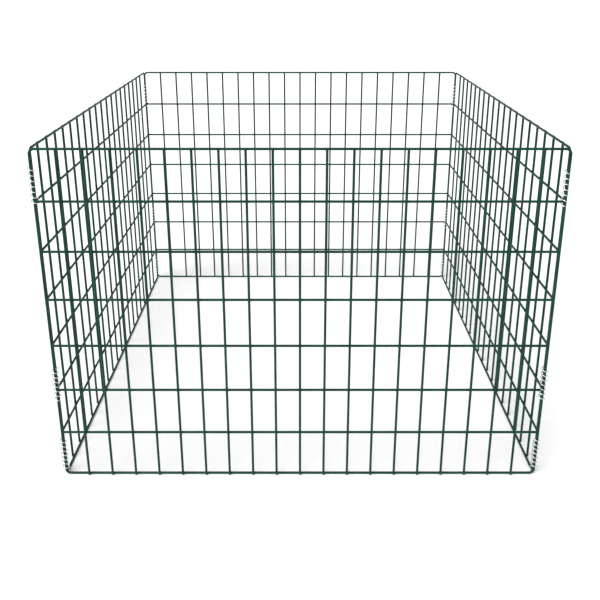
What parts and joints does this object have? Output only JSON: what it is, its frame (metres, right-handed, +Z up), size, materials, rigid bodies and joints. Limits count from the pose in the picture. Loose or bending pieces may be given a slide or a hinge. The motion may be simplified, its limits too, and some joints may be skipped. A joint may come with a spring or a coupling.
{
  "type": "wire mesh pen",
  "caption": "Square open-topped wire mesh pen: upright welded panels joined at the corners by wire coils that also act as hinges.",
  "frame": {"origin": "on the ground under the centre of the pen", "axes": "+Z up; the front panel faces -Y; +X to the right seen from the front"},
  "size_m": [1.0144, 1.0234, 0.719],
  "materials": {
    "green_powder_coat": "satin moss green powder coat on welded steel wire",
    "zinc_plated_wire": "bright zinc plated spring wire"
  },
  "bodies": {
    "back_panel": {"back_frame_wire": "green_powder_coat", "back_upright_wires": "green_powder_coat", "back_cross_wires": "green_powder_coat", "back_left_low_coil": "zinc_plated_wire", "back_left_middle_coil": "zinc_plated_wire", "back_left_top_coil": "zinc_plated_wire", "back_right_low_coil": "zinc_plated_wire", "back_right_middle_coil": "zinc_plated_wire", "back_right_top_coil": "zinc_plated_wire"},
    "left_panel": {"left_frame_wire": "green_powder_coat", "left_upright_wires": "green_powder_coat", "left_cross_wires": "green_powder_coat"},
    "right_panel": {"right_frame_wire": "green_powder_coat", "right_upright_wires": "green_powder_coat", "right_cross_wires": "green_powder_coat"},
    "front_panel": {"front_frame_wire": "green_powder_coat", "front_upright_wires": "green_powder_coat", "front_cross_wires": "green_powder_coat", "front_left_low_coil": "zinc_plated_wire", "front_left_middle_coil": "zinc_plated_wire", "front_left_top_coil": "zinc_plated_wire", "front_right_low_coil": "zinc_plated_wire", "front_right_middle_coil": "zinc_plated_wire", "front_right_top_coil": "zinc_plated_wire"}
  },
  "joints": [
    {"name": "left_panel_fold", "type": "hinge", "parent": "back_panel", "child": "left_panel", "pos_m": [-0.5, 0.5, 0.36], "axis": [0, 0, 1], "range_deg": [-88, 88], "deforming": ["back_left_middle_coil", "back_left_top_coil"]},
    {"name": "right_panel_fold", "type": "hinge", "parent": "back_panel", "child": "right_panel", "pos_m": [0.5, 0.5, 0.36], "axis": [0, 0, 1], "range_deg": [-88, 88], "deforming": ["back_right_middle_coil", "back_right_top_coil"]},
    {"name": "front_panel_fold", "type": "hinge", "parent": "left_panel", "child": "front_panel", "pos_m": [-0.5, -0.5, 0.36], "axis": [0, 0, 1], "range_deg": [-88, 88], "deforming": ["front_left_middle_coil", "front_left_top_coil", "front_right_middle_coil", "front_right_top_coil"]}
  ],
  "couplings": [
    {"joint": "right_panel_fold", "follows": "left_panel_fold", "ratio": 1},
    {"joint": "front_panel_fold", "follows": "left_panel_fold", "ratio": -1}
  ]
}
